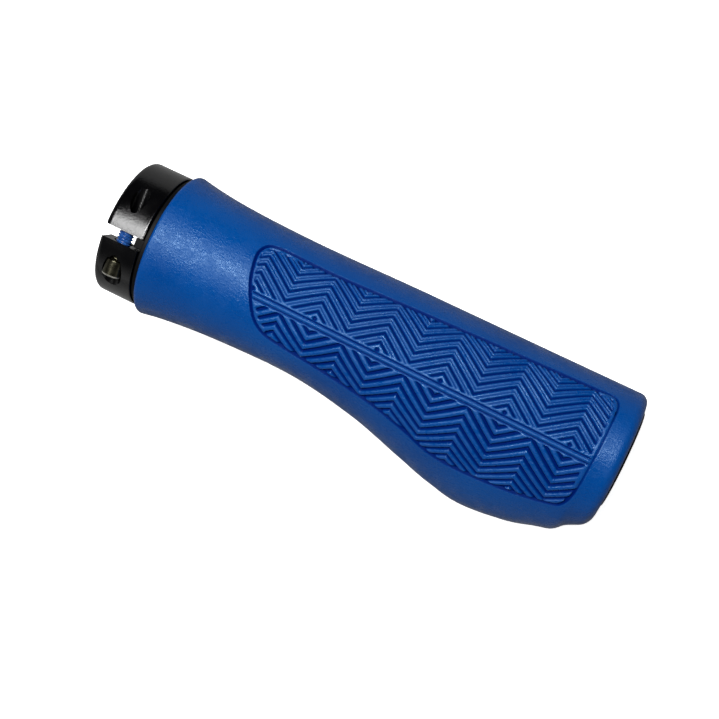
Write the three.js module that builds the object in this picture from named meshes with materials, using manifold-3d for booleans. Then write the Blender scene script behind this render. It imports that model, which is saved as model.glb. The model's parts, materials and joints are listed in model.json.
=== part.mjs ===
// Ergonomic lock-on grip for the right end of a bicycle handlebar, in millimetres.
// The bar's axis is the X axis while the pieces are shaped: inboard is -X, the open end
// of the bar is +X, the palm wing reaches towards -Y and the tread panel faces +Z.
// At the end the whole grip is lifted so that it stands on the surface z = 0.
import * as THREE from 'three';
import { mergeVertices } from 'three/addons/utils/BufferGeometryUtils.js';
import Module from 'manifold-3d';

const wasm = await Module();
wasm.setup();

// Overall sizes
const overallLength = 130;
const barDiameter = 22.2;
const boreClearance = 0.05;
const fitGap = 0.3;

// Clamp ring
const collarWidth = 9.8;
const collarWall = 5.45;
const collarOuterFillet = 1.4;
const collarInnerChamfer = 0.4;
const slitWidth = 3;
const slitAngle = THREE.MathUtils.degToRad(4);

// Clamp screw and its seat in the ring
const screwDiameter = 4;
const screwLength = 12;
const screwHeadDiameter = 4.5;
const screwHeadHeight = 3.9;
const screwHeadChamfer = 0.4;
const screwSocketWidth = 3;
const screwSocketDepth = 2.2;
const screwFromBore = 2.45;
const screwSeatFromSlit = 5.8;
const pocketClearance = 0.3;

// Stiff core under the rubber
const coreWall = 1.85;
const coreFlangeReach = 5.1;
const coreFlangeThickness = 1;
const coreKeyReach = 2.2;
const coreKeyHeight = 4;

// End plug
const plugHeadRim = 0.85;
const plugHeadThickness = 2.1;
const plugProud = 0.4;
const plugSpigotLength = 12;
const plugWall = 1.6;
const plugBevelDepth = 0.6;
const plugBevelWidth = 1.2;

// Rubber sleeve: flange, neck and barrel
const flangeWall = 4.8;
const flangeFillet = 0.8;
const flareLength = 12.9;
const neckWall = 1.95;
const barrelWall = 2.35;
const neckPlace = 30.6;
const barrelPlace = 62.4;
const sleeveEndFillet = 2.2;

// Palm wing: how far it reaches past the barrel, and which way it leans from straight up
const wingReach = 11.45;
const wingLean = THREE.MathUtils.degToRad(100);
// The wing's outline seen from above: distance from the outboard end, share of the reach
const wingOutline = [
  [84.1, 0], [76.2, 0.03], [68.2, 0.12], [58.3, 0.3], [48.4, 0.58], [38.4, 0.855],
  [29.5, 1], [18.5, 0.895], [10.6, 0.68], [7.1, 0.57], [4.6, 0.35], [0, 0.13],
];

// Tread panel: its place, its edges and the frame groove round it
const panelFromFlange = 23.5;
const panelFromEnd = 6.2;
const panelSlant = 6;
const panelSlantBow = 0.62;
const panelEndSlant = 0.95;
const panelTopTurnInboard = THREE.MathUtils.degToRad(-46.1);
const panelTopTurnOutboard = THREE.MathUtils.degToRad(-57.5);
const panelLowerTurn = THREE.MathUtils.degToRad(37);
const panelCorner = 2.8;
const panelLowerCorner = 4.2;
const panelDepth = 0.9;
const frameGroove = 0.65;

// Zigzag ridges, measured along the rubber's surface
const zigzagPeriod = 15.9;
const zigzagHeight = 5.63;
const zigzagPhase = 18.8;
const ridgeSpacing = 2.22;
const firstGroove = 0.92;
const grooveFloorWidth = 0.5;
const grooveTopWidth = 0.96;
const ridgeSink = 0.18;

// Straight rib along the middle of the panel, with its section as [share across, depth] pairs
const ribWidth = 1.1;
const ribGutter = 0.3;
const ribEndGap = 0.25;
const ribCrown = [[0.5, 1.1], [0.4, 0.15], [0.15, -0.05]];
const ribTurnInboard = THREE.MathUtils.degToRad(1.3);
const ribTurnOutboard = THREE.MathUtils.degToRad(6.5);

// Fineness of the curved faces
const roundSegments = 48;
const screwSegments = 32;
const sectionSides = 40;
const stationStep = 4;
const wingEndSteps = 4;
const filletSteps = 4;
const edgeSteps = 20;
const cornerSteps = 6;
const bedSteps = 16;

// Places that follow from the sizes above
const boreRadius = barDiameter / 2 + boreClearance;
const collarRadius = boreRadius + collarWall;
const screwFromAxis = boreRadius + screwFromBore;
const coreRadius = boreRadius + coreWall;
const coreFlangeRadius = boreRadius + coreFlangeReach;
const plugHeadRadius = boreRadius + plugHeadRim;
const sleeveHoleRadius = coreRadius + fitGap;
const flangeRadius = sleeveHoleRadius + flangeWall;
const neckRadius = sleeveHoleRadius + neckWall;
const barrelRadius = sleeveHoleRadius + barrelWall;
const coreStart = collarWidth + fitGap;
const sleeveStart = coreStart + coreFlangeThickness + fitGap;
const sleeveEnd = overallLength - plugProud;
const plugHeadStart = overallLength - plugHeadThickness;
const coreEnd = plugHeadStart - fitGap;
const panelStart = sleeveStart + panelFromFlange;
const panelEnd = sleeveEnd - panelFromEnd;

// Overlaps for joining and cutting: ridges reach below the bed and their grooves stop above
// its floor, so that the two surfaces never cross
const ridgeFoot = 0.35;
const grooveLift = 0.08;
const overrun = 1;
const cutterHeight = 2 * barrelRadius;

// Solids for cutting and joining

function solidOf(geometry) {
  const bare = geometry.index ? geometry.toNonIndexed() : geometry.clone();
  for (const name of Object.keys(bare.attributes)) {
    if (name !== 'position') bare.deleteAttribute(name);
  }
  const welded = mergeVertices(bare, 1e-5);
  return new wasm.Manifold(new wasm.Mesh({
    numProp: 3,
    vertProperties: new Float32Array(welded.attributes.position.array),
    triVerts: new Uint32Array(welded.index.array),
  }));
}

function geometryOf(solid) {
  const mesh = solid.getMesh();
  const geometry = new THREE.BufferGeometry();
  geometry.setAttribute('position', new THREE.BufferAttribute(new Float32Array(mesh.vertProperties), 3));
  geometry.setIndex(new THREE.BufferAttribute(new Uint32Array(mesh.triVerts), 1));
  return geometry;
}

// A turned solid about the X axis: a closed outline of [place along X, radius] pairs
function turned(outline) {
  const closed = [...outline, outline[0]];
  const points = closed.map(([x, radius]) => new THREE.Vector2(radius, x));
  return solidOf(new THREE.LatheGeometry(points, roundSegments).rotateZ(-Math.PI / 2));
}

// A round bar along Y, from one place to another, at the screw's place in the ring
function screwBar(radius, from, to, sides = screwSegments) {
  const bar = new THREE.CylinderGeometry(radius, radius, to - from, sides);
  return solidOf(bar.translate(collarWidth / 2, (from + to) / 2, screwFromAxis));
}

function block(x, y, z) {
  const box = new THREE.BoxGeometry(x[1] - x[0], y[1] - y[0], z[1] - z[0]);
  return solidOf(box.translate((x[0] + x[1]) / 2, (y[0] + y[1]) / 2, (z[0] + z[1]) / 2));
}

// Places on a quarter round, as [share of the rise, share of the run] pairs
function quarterRound(steps) {
  return Array.from({ length: steps + 1 }, (_, i) => {
    const turn = (i / steps) * Math.PI / 2;
    return [Math.sin(turn), 1 - Math.cos(turn)];
  });
}

// The sleeve's section: a barrel circle with a rounded lobe towards the palm

function smoothStep(from, to, value) {
  const share = THREE.MathUtils.clamp((value - from) / (to - from), 0, 1);
  return share * share * (3 - 2 * share);
}

function barrelAt(x) {
  const along = x - sleeveStart;
  const flare = (flangeRadius - neckRadius) * Math.exp(-along / flareLength);
  return neckRadius + flare + (barrelRadius - neckRadius) * smoothStep(neckPlace, barrelPlace, along);
}

const wingCurve = new THREE.SplineCurve(wingOutline.map(([back, share]) => new THREE.Vector2(-back, share)));
const wingPoints = wingCurve.getPoints(8 * (wingOutline.length - 1));

function wingAt(x) {
  const back = THREE.MathUtils.clamp(x - sleeveEnd, wingPoints[0].x, 0);
  const next = Math.max(1, wingPoints.findIndex((point) => point.x >= back));
  const low = wingPoints[next - 1];
  const high = wingPoints[next];
  const share = THREE.MathUtils.lerp(low.y, high.y, (back - low.x) / (high.x - low.x));
  return wingReach * Math.max(0, share);
}

// The surface point at a station where the section's outward normal is turned this far
// from straight up towards the palm, sunk below the surface by a depth
function surfacePoint(x, turn, depth = 0) {
  const lean = turn - wingLean;
  const lobe = Math.max(0, Math.cos(lean));
  const reach = barrelAt(x) + wingAt(x) * lobe * lobe - depth;
  const slide = -2 * wingAt(x) * lobe * Math.sin(lean);
  return new THREE.Vector3(
    x,
    -reach * Math.sin(turn) - slide * Math.cos(turn),
    reach * Math.cos(turn) - slide * Math.sin(turn),
  );
}

// Length along the section from straight up to a turn; it grows towards the palm
function arcLength(x, turn) {
  const past = Math.max(0, turn - (wingLean - Math.PI / 2));
  const lobe = past > 0 ? 0.5 * past - 0.75 * Math.sin(2 * (turn - wingLean)) : 0;
  return barrelAt(x) * turn + wingAt(x) * lobe;
}

function turnAtArc(x, length) {
  let low = -Math.PI;
  let high = Math.PI;
  for (let i = 0; i < 40; i += 1) {
    const middle = (low + high) / 2;
    if (arcLength(x, middle) < length) low = middle;
    else high = middle;
  }
  return (low + high) / 2;
}

function ribTurn(x) {
  return THREE.MathUtils.lerp(ribTurnInboard, ribTurnOutboard, (x - panelStart) / (panelEnd - panelStart));
}

// A point of the panel by its distance across from the rib, measured along the surface
function panelPoint(x, across, depth) {
  return surfacePoint(x, turnAtArc(x, arcLength(x, ribTurn(x)) + across), depth);
}

// A closed solid between two grids of points with the same rows and columns
function gridSolid(upper, lower) {
  const rows = upper.length;
  const columns = upper[0].length;
  const points = [...upper.flat(), ...lower.flat()];
  const index = [];
  const at = (side, row, column) => side * rows * columns + row * columns + column;
  const quad = (a, b, c, d) => index.push(a, b, c, a, c, d);
  for (let row = 0; row + 1 < rows; row += 1) {
    for (let column = 0; column + 1 < columns; column += 1) {
      quad(at(0, row, column), at(0, row, column + 1), at(0, row + 1, column + 1), at(0, row + 1, column));
      quad(at(1, row, column), at(1, row + 1, column), at(1, row + 1, column + 1), at(1, row, column + 1));
    }
  }
  for (let row = 0; row + 1 < rows; row += 1) {
    quad(at(0, row, 0), at(0, row + 1, 0), at(1, row + 1, 0), at(1, row, 0));
    const last = columns - 1;
    quad(at(0, row, last), at(1, row, last), at(1, row + 1, last), at(0, row + 1, last));
  }
  for (let column = 0; column + 1 < columns; column += 1) {
    quad(at(0, 0, column), at(1, 0, column), at(1, 0, column + 1), at(0, 0, column + 1));
    const last = rows - 1;
    quad(at(0, last, column), at(0, last, column + 1), at(1, last, column + 1), at(1, last, column));
  }
  return closedSolid(points, index);
}

// A solid from points and triangles that all face the same way, turned outward if need be
function closedSolid(points, index) {
  const geometry = new THREE.BufferGeometry().setFromPoints(points);
  geometry.setIndex(index);
  const solid = solidOf(geometry);
  if (solid.volume() > 0) return solid;
  geometry.setIndex([...index].reverse());
  return solidOf(geometry);
}

// Rubber sleeve without its tread

// Stations along the sleeve with the inset of its rounded ends, closer where the wing ends
function sleeveStations() {
  const flatStart = sleeveStart + flangeFillet;
  const flatEnd = sleeveEnd - sleeveEndFillet;
  const rim = quarterRound(filletSteps - 1).map(([rise, run]) => {
    return [sleeveStart + flangeFillet * run, flangeFillet * (1 - rise)];
  });
  const end = quarterRound(filletSteps).map(([rise, run]) => {
    return [flatEnd + sleeveEndFillet * rise, sleeveEndFillet * run];
  });
  const fineStart = flatEnd - 2 * stationStep;
  const fineStep = stationStep / wingEndSteps;
  const middle = [];
  for (let x = flatStart + stationStep; x < fineStart; x += stationStep) middle.push([x, 0]);
  for (let x = fineStart; x < flatEnd - fineStep / 2; x += fineStep) middle.push([x, 0]);
  return [...rim, ...middle, ...end];
}

function sleeveBody() {
  const points = [];
  const index = [];
  const stations = sleeveStations();
  for (const [x, inset] of stations) {
    const whole = arcLength(x, Math.PI) - arcLength(x, -Math.PI);
    for (let i = 0; i < sectionSides; i += 1) {
      const length = arcLength(x, -Math.PI) + whole * (i + 0.5) / sectionSides;
      points.push(surfacePoint(x, turnAtArc(x, length), inset));
    }
  }
  const at = (station, side) => station * sectionSides + (side % sectionSides);
  for (let station = 0; station + 1 < stations.length; station += 1) {
    for (let side = 0; side < sectionSides; side += 1) {
      const near = [at(station, side), at(station, side + 1)];
      const far = [at(station + 1, side), at(station + 1, side + 1)];
      index.push(near[0], near[1], far[1], near[0], far[1], far[0]);
    }
  }
  const first = points.push(new THREE.Vector3(sleeveStart, 0, 0)) - 1;
  const last = points.push(new THREE.Vector3(sleeveEnd, 0, 0)) - 1;
  for (let side = 0; side < sectionSides; side += 1) {
    index.push(first, at(0, side + 1), at(0, side));
    index.push(last, at(stations.length - 1, side), at(stations.length - 1, side + 1));
  }
  return closedSolid(points, index);
}

// Tread panel

function lowerEdge(x) {
  return surfacePoint(x, panelLowerTurn).y;
}

// The panel's outline seen from above, drawn a margin inside its outer edge
function panelShape(margin) {
  const left = panelStart + margin;
  const right = panelEnd - margin;
  const top = (x) => {
    const share = (x - panelStart) / (panelEnd - panelStart);
    const turn = THREE.MathUtils.lerp(panelTopTurnInboard, panelTopTurnOutboard, share);
    return surfacePoint(x, turn).y - margin;
  };
  const bottom = (x) => lowerEdge(x) + margin;
  const corner = panelCorner - margin;
  const low = panelLowerCorner - margin;
  const lowLeft = left + panelSlant;
  const lowRight = right - panelEndSlant;
  const shape = new THREE.Shape();
  shape.moveTo(left, top(left) - corner);
  shape.quadraticCurveTo(left, top(left), left + corner, top(left + corner));
  shape.lineTo(right - corner, top(right - corner));
  shape.quadraticCurveTo(right, top(right), right, top(right) - corner);
  shape.lineTo(lowRight, bottom(lowRight) + low);
  shape.quadraticCurveTo(lowRight, bottom(lowRight), lowRight - low, bottom(lowRight - low));
  for (let i = 1; i <= edgeSteps; i += 1) {
    const x = THREE.MathUtils.lerp(lowRight - low, lowLeft + low, i / edgeSteps);
    shape.lineTo(x, bottom(x));
  }
  shape.quadraticCurveTo(lowLeft + low / 3, bottom(lowLeft), lowLeft, bottom(lowLeft) + low / 3);
  const bow = THREE.MathUtils.lerp(bottom(lowLeft), top(left), panelSlantBow);
  shape.quadraticCurveTo(left, bow, left, top(left) - corner);
  return shape;
}

function panelPrism(margin) {
  const extrusion = { depth: cutterHeight, bevelEnabled: false, curveSegments: cornerSteps };
  return solidOf(new THREE.ExtrudeGeometry(panelShape(margin), extrusion));
}

// Stations at the zigzag's corners, with as many steps between them as the side needs
function zigzagStations(stepsPerLeg) {
  const leg = zigzagPeriod / 2;
  const middle = panelStart + zigzagPhase;
  const first = Math.floor((panelStart - middle) / leg) - 1;
  const last = Math.ceil((panelEnd - middle) / leg) + 1;
  const stations = [];
  for (let i = first * stepsPerLeg; i <= last * stepsPerLeg; i += 1) {
    const legs = Math.abs(i / stepsPerLeg) % 2;
    stations.push({ x: middle + (i / stepsPerLeg) * leg, rise: zigzagHeight * Math.min(legs, 2 - legs) });
  }
  return stations;
}

// A sunken bed over the whole panel
function panelBed() {
  const halfTurn = Math.PI / 4 + Math.abs(panelTopTurnOutboard) / 2;
  const turns = Array.from({ length: bedSteps + 1 }, (_, i) => (2 * i / bedSteps - 1) * halfTurn);
  const row = (x, depth) => turns.map((turn) => surfacePoint(x, turn, depth));
  const grid = (depth) => zigzagStations(2).map(({ x }) => row(x, depth));
  return gridSolid(grid(-2 * panelDepth), grid(panelDepth));
}

// Ridges on one side of the rib: side is 1 towards the palm and -1 away from it
function ridgeField(side) {
  const stations = zigzagStations(side > 0 ? 2 : 1);
  const farthest = Math.PI / 2 * barrelRadius + zigzagHeight;
  const floor = panelDepth - grooveLift;
  const lines = [];
  for (let groove = firstGroove - ridgeSpacing; groove < farthest; groove += ridgeSpacing) {
    lines.push([groove - grooveTopWidth / 2, ridgeSink], [groove - grooveFloorWidth / 2, floor]);
    lines.push([groove + grooveFloorWidth / 2, floor], [groove + grooveTopWidth / 2, ridgeSink]);
  }
  const row = ({ x, rise }, flat) => lines.map(([line, depth]) => {
    return panelPoint(x, side * (line - rise), flat ? panelDepth + ridgeFoot : depth);
  });
  const upper = stations.map((station) => row(station, false));
  const lower = stations.map((station) => row(station, true));
  return gridSolid(upper, lower);
}

// The ground on one side of the rib, seen from above, as far as the gutter beside the rib
function besideRib(side) {
  const edge = side * (ribWidth / 2 + ribGutter);
  const ends = [panelStart - overrun, panelEnd + overrun];
  const shape = new THREE.Shape();
  shape.moveTo(ends[0], panelPoint(ends[0], edge, 0).y);
  shape.lineTo(ends[1], panelPoint(ends[1], edge, 0).y);
  shape.lineTo(ends[1], -side * cutterHeight);
  shape.lineTo(ends[0], -side * cutterHeight);
  shape.closePath();
  return solidOf(new THREE.ExtrudeGeometry(shape, { depth: cutterHeight, bevelEnabled: false }));
}

function centreRib() {
  const start = panelStart + panelSlant / 2 + frameGroove + ribEndGap;
  const end = panelEnd - frameGroove - ribEndGap;
  const steps = Math.ceil((end - start) / stationStep);
  const crown = [...ribCrown.map(([share, depth]) => [-share, depth]), ...[...ribCrown].reverse()];
  const row = (i, depthOf) => {
    const x = THREE.MathUtils.lerp(start, end, i / steps);
    return crown.map(([share, depth]) => panelPoint(x, share * ribWidth, depthOf(depth)));
  };
  const rows = Array.from({ length: steps + 1 }, (_, i) => i);
  const upper = rows.map((i) => row(i, (depth) => depth));
  const lower = rows.map((i) => row(i, () => panelDepth + ridgeFoot));
  return gridSolid(upper, lower);
}

function sleeveSolid() {
  const bed = panelBed().intersect(panelPrism(0));
  const inner = panelPrism(frameGroove);
  const ridges = [1, -1].map((side) => ridgeField(side).intersect(inner).intersect(besideRib(side)));
  const plugHoleRadius = plugHeadRadius + fitGap;
  const coreHole = turned([
    [sleeveStart - overrun, 0], [sleeveStart - overrun, sleeveHoleRadius], [plugHeadStart, sleeveHoleRadius],
    [plugHeadStart, plugHoleRadius], [sleeveEnd + overrun, plugHoleRadius], [sleeveEnd + overrun, 0],
  ]);
  return sleeveBody().subtract(bed).add(ridges[0]).add(ridges[1]).add(centreRib()).subtract(coreHole);
}

// Core tube: a plain tube with a thin flange and a key that sits in the ring's slit
function coreSolid() {
  const flangeBack = coreStart + coreFlangeThickness;
  const tube = turned([
    [coreStart, boreRadius], [coreStart, coreFlangeRadius], [flangeBack, coreFlangeRadius],
    [flangeBack, coreRadius], [coreEnd, coreRadius], [coreEnd, boreRadius],
  ]);
  const halfKey = slitWidth / 2 - fitGap;
  const keyFoot = boreRadius + fitGap;
  const key = block(
    [coreStart - coreKeyReach, coreStart + coreFlangeThickness / 2],
    [-halfKey, halfKey],
    [keyFoot, keyFoot + coreKeyHeight],
  );
  return tube.add(key);
}

// Clamp ring: turned, rounded at its inboard edge, slit and bored for the screw
function collarSolid() {
  const outline = [[0, boreRadius + collarInnerChamfer]];
  for (const [rise, run] of quarterRound(filletSteps)) {
    outline.push([collarOuterFillet * run, collarRadius - collarOuterFillet * (1 - rise)]);
  }
  outline.push([collarWidth - collarInnerChamfer, collarRadius]);
  outline.push([collarWidth, collarRadius - collarInnerChamfer]);
  outline.push([collarWidth, boreRadius], [collarInnerChamfer, boreRadius]);
  const past = 2 * collarRadius;
  const slit = block([-overrun, collarWidth + overrun], [-slitWidth / 2, slitWidth / 2], [0, past]);
  const threadedHole = screwBar(screwDiameter / 2, 0, past);
  const plainHole = screwBar(screwDiameter / 2 + fitGap, -past, 0);
  const pocket = screwBar(screwHeadDiameter / 2 + pocketClearance, -past, -screwSeatFromSlit);
  return turned(outline).subtract(slit).subtract(threadedHole).subtract(plainHole).subtract(pocket);
}

// Clamp screw: socket head in the ring's pocket, shank across the slit into the thread
function screwSolid() {
  const underHead = -screwSeatFromSlit - fitGap;
  const headTop = underHead - screwHeadHeight;
  const crownTop = screwHeadDiameter / 2 - screwHeadChamfer;
  const crown = new THREE.CylinderGeometry(screwHeadDiameter / 2, crownTop, screwHeadChamfer, screwSegments);
  crown.translate(collarWidth / 2, headTop + screwHeadChamfer / 2, screwFromAxis);
  const head = screwBar(screwHeadDiameter / 2, headTop + screwHeadChamfer, underHead);
  const shankRadius = screwDiameter / 2 - fitGap;
  const shank = screwBar(shankRadius, underHead - screwHeadHeight / 4, underHead + screwLength);
  const socketRadius = screwSocketWidth / Math.sqrt(3);
  const socket = screwBar(socketRadius, headTop - overrun, headTop + screwSocketDepth, 6);
  return head.add(solidOf(crown)).add(shank).subtract(socket);
}

// End plug: a disc with a hollow spigot pressed into the core
function plugSolid() {
  const spigotRadius = boreRadius - fitGap;
  const spigotStart = plugHeadStart - plugSpigotLength;
  const web = plugHeadStart - plugWall;
  return turned([
    [spigotStart, spigotRadius - plugWall], [spigotStart, spigotRadius], [plugHeadStart, spigotRadius],
    [plugHeadStart, plugHeadRadius], [overallLength - plugBevelDepth, plugHeadRadius],
    [overallLength, plugHeadRadius - plugBevelWidth], [overallLength, 0],
    [web, 0], [web, spigotRadius - plugWall],
  ]);
}

// Materials and assembly

function piece(name, solid, colour, roughness, metalness) {
  const material = new THREE.MeshStandardMaterial({ color: colour, roughness, metalness });
  const mesh = new THREE.Mesh(geometryOf(solid), material);
  mesh.name = name;
  return mesh;
}

const grip = new THREE.Group();
grip.add(piece('grip_sleeve', sleeveSolid(), 0x1a55a8, 0.5, 0));
grip.add(piece('end_plug', plugSolid(), 0x141416, 0.45, 0));

const clamp = new THREE.Group();
clamp.rotation.x = slitAngle;
clamp.add(piece('core_tube', coreSolid(), 0x161618, 0.5, 0));
clamp.add(piece('lock_collar', collarSolid(), 0x0c0c0e, 0.3, 0.8));
clamp.add(piece('clamp_screw', screwSolid(), 0x4a4a46, 0.3, 0.9));
grip.add(clamp);

// Stand the grip on z = 0 with its middle over the origin
grip.updateMatrixWorld(true);
const bounds = new THREE.Box3().setFromObject(grip, true);
const middle = bounds.getCenter(new THREE.Vector3());
grip.position.set(-middle.x, -middle.y, -bounds.min.z);

export default grip;
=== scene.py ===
import json
import math

import bmesh
import bpy
import numpy as np
from mathutils import Matrix, Vector

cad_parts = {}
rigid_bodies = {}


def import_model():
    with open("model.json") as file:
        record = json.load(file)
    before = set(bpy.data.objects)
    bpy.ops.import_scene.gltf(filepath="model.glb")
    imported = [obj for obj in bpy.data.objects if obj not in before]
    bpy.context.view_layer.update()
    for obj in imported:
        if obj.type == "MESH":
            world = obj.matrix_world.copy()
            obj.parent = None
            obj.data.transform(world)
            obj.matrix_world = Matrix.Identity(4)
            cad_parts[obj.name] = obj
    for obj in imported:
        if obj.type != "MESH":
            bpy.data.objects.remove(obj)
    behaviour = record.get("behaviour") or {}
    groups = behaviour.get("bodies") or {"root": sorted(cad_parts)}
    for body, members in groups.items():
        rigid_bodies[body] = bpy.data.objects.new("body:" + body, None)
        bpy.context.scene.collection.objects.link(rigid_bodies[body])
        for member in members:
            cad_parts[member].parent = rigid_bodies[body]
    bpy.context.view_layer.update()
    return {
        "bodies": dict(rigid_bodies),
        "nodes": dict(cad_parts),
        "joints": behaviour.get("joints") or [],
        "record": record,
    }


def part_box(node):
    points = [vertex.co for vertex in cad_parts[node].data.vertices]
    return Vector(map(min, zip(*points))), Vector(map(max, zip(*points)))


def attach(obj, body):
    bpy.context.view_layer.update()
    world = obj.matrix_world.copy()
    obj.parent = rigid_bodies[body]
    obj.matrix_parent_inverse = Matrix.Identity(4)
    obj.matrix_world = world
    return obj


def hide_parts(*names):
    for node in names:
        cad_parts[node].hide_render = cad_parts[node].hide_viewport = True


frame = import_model()
print("frame loaded:", sorted(frame["nodes"]))

# The pieces are shaped in millimetres with the handlebar's axis on X and the inboard face
# of the clamp ring at x = 0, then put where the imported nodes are
mm = 0.001  # in metres
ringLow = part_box("lock_collar")[0]
plugLow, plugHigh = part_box("end_plug")
barPlace = Vector((ringLow.x, (plugLow.y + plugHigh.y) / 2, (plugLow.z + plugHigh.z) / 2))
toRow = Matrix.Translation(barPlace) @ Matrix.Scale(mm, 4)
clampTurn = math.radians(4)  # the ring's slit leans a little towards the palm
mergeReach = 1e-4  # mm


# Helpers for materials

def hexColour(code):
    shares = [int(code[i:i + 2], 16) / 255 for i in (0, 2, 4)]
    return [s / 12.92 if s <= 0.04045 else ((s + 0.055) / 1.055) ** 2.4 for s in shares] + [1.0]


def addNode(tree, kind, settings=None, links=None):
    node = tree.nodes.new(kind)
    for name, value in (settings or {}).items():
        if isinstance(name, int) or name in node.inputs:
            node.inputs[name].default_value = value
        else:
            setattr(node, name, value)
    for name, socket in (links or {}).items():
        tree.links.new(socket, node.inputs[name])
    return node


def startMaterial(name, settings):
    material = bpy.data.materials.new(name)
    material.use_nodes = True
    tree = material.node_tree
    shader = tree.nodes["Principled BSDF"]
    for socket, value in settings.items():
        shader.inputs[socket].default_value = value
    return material, tree, shader


def millimetres(tree, stretch=(1, 1, 1)):
    place = addNode(tree, "ShaderNodeTexCoord")
    scale = [s / mm for s in stretch]
    mapping = addNode(tree, "ShaderNodeMapping", {"Scale": scale}, {"Vector": place.outputs["Object"]})
    return mapping.outputs[0]


def spans(fromLow, fromHigh, low, high):
    # Settings that map one span to another; most of a noise lies between 0.3 and 0.7
    return {"From Min": fromLow, "From Max": fromHigh, "To Min": low, "To Max": high}


# Helpers for meshes

def newObject(name, bm):
    mesh = bpy.data.meshes.new(name)
    bm.to_mesh(mesh)
    bm.free()
    thing = bpy.data.objects.new(name, mesh)
    bpy.context.scene.collection.objects.link(thing)
    return thing


def cutWith(bm, cutters, operation="DIFFERENCE"):
    # The cutters are taken from the shape, or joined to it
    target = newObject("work", bm)
    tools = [newObject("cutter", cutter) for cutter in cutters]
    for tool in tools:
        modifier = target.modifiers.new("cut", "BOOLEAN")
        modifier.operation = operation
        modifier.solver = "EXACT"
        modifier.object = tool
    graph = bpy.context.evaluated_depsgraph_get()
    result = bmesh.new()
    result.from_mesh(target.evaluated_get(graph).to_mesh())
    for thing in [target, *tools]:
        bpy.data.objects.remove(thing)
    return result


def turnedBody(outline, steps):
    # An outline of places along the bar and radii, turned round the bar's axis
    bm = bmesh.new()
    verts = [bm.verts.new((x, 0, radius)) for x, radius in outline]
    edges = [bm.edges.new((verts[i], verts[(i + 1) % len(verts)])) for i in range(len(verts))]
    bmesh.ops.spin(bm, geom=verts + edges, cent=(0, 0, 0), axis=(1, 0, 0), dvec=(0, 0, 0),
                   angle=2 * math.pi, steps=steps, use_merge=True, use_duplicate=False)
    bmesh.ops.remove_doubles(bm, verts=bm.verts, dist=mergeReach)
    bmesh.ops.recalc_face_normals(bm, faces=bm.faces)
    return bm


def roundedCorners(outline, radii, steps):
    # Each corner becomes a curve that starts and ends this far from it
    points = []
    count = len(outline)
    for i, (corner, radius) in enumerate(zip(outline, radii)):
        corner = Vector(corner)
        if radius == 0:
            points.append(tuple(corner))
            continue
        before = (Vector(outline[i - 1]) - corner).normalized()
        after = (Vector(outline[(i + 1) % count]) - corner).normalized()
        for step in range(steps + 1):
            share = step / steps
            start = corner + before * radius * (1 - share)
            end = corner + after * radius * share
            points.append(tuple(start.lerp(end, share)))
    return points


def sharpEdges(bm, angle):
    # Edges whose faces turn by more than this many degrees
    return [e for e in bm.edges if len(e.link_faces) == 2 and e.calc_face_angle() > math.radians(angle)]


def breakEdges(bm, edges, width):
    bmesh.ops.bevel(bm, geom=edges, offset=width, offset_type="OFFSET", affect="EDGES", segments=2,
                    profile=0.5, material=-1, clamp_overlap=True)


def bar(radius, start, end, sides=64):
    # A round bar along Y at the screw's place in the ring
    bm = bmesh.new()
    bmesh.ops.create_cone(bm, cap_ends=True, cap_tris=False, segments=sides, radius1=radius, radius2=radius,
                          depth=end - start)
    bmesh.ops.rotate(bm, verts=bm.verts, cent=(0, 0, 0), matrix=Matrix.Rotation(-math.pi / 2, 3, "X"))
    bmesh.ops.translate(bm, verts=bm.verts, vec=(ring["width"] / 2, (start + end) / 2, screw["fromAxis"]))
    return bm


def box(low, high):
    # A block between two corners
    bm = bmesh.new()
    bmesh.ops.create_cube(bm, size=1)
    size = [h - l for l, h in zip(low, high)]
    middle = [(h + l) / 2 for l, h in zip(low, high)]
    bmesh.ops.scale(bm, verts=bm.verts, vec=size)
    bmesh.ops.translate(bm, verts=bm.verts, vec=middle)
    return bm


def finishPiece(name, bm, materials, node, tilt=0.0, sharpAngle=35):
    # Puts a shape in its place on the grip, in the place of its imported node
    bm.transform(toRow @ Matrix.Rotation(tilt, 4, "X"))
    piece = newObject(name, bm)
    for material in materials:
        piece.data.materials.append(material)
    piece.data.shade_smooth()
    piece.data.set_sharp_from_angle(angle=math.radians(sharpAngle))
    if sharpAngle < 180:
        # flat faces keep their own light beside the small bevels
        weighted = piece.modifiers.new("weighted", "WEIGHTED_NORMAL")
        weighted.keep_sharp = True
    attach(piece, "root")
    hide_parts(node)
    print("made", name, len(piece.data.polygons), "faces")


# Camera and light

view = {
    "place": (108.96, 39.78, 324.01),  # mm, from the bar's axis at the clamp ring's inboard face
    "aim": (64.8, -5.335, 0),
    "roll": 25.52,
    "lens": 69.9,
    "sensor": 36,
}

camera = bpy.data.objects.new("camera", bpy.data.cameras.new("camera"))
bpy.context.scene.collection.objects.link(camera)
forward = (Vector(view["aim"]) - Vector(view["place"])).normalized()
right = (Vector((1, 0, 0)) - forward * forward.x).normalized()
down = forward.cross(right)
roll = math.radians(view["roll"])
across = right * math.cos(roll) - down * math.sin(roll)
upward = -(right * math.sin(roll) + down * math.cos(roll))
turn = Matrix((across, upward, -forward)).transposed().to_4x4()
camera.matrix_world = Matrix.Translation(toRow @ Vector(view["place"])) @ turn
camera.data.lens = view["lens"]
camera.data.sensor_width = view["sensor"]
bpy.context.scene.camera = camera
bpy.context.scene.view_settings.view_transform = "Standard"

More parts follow.
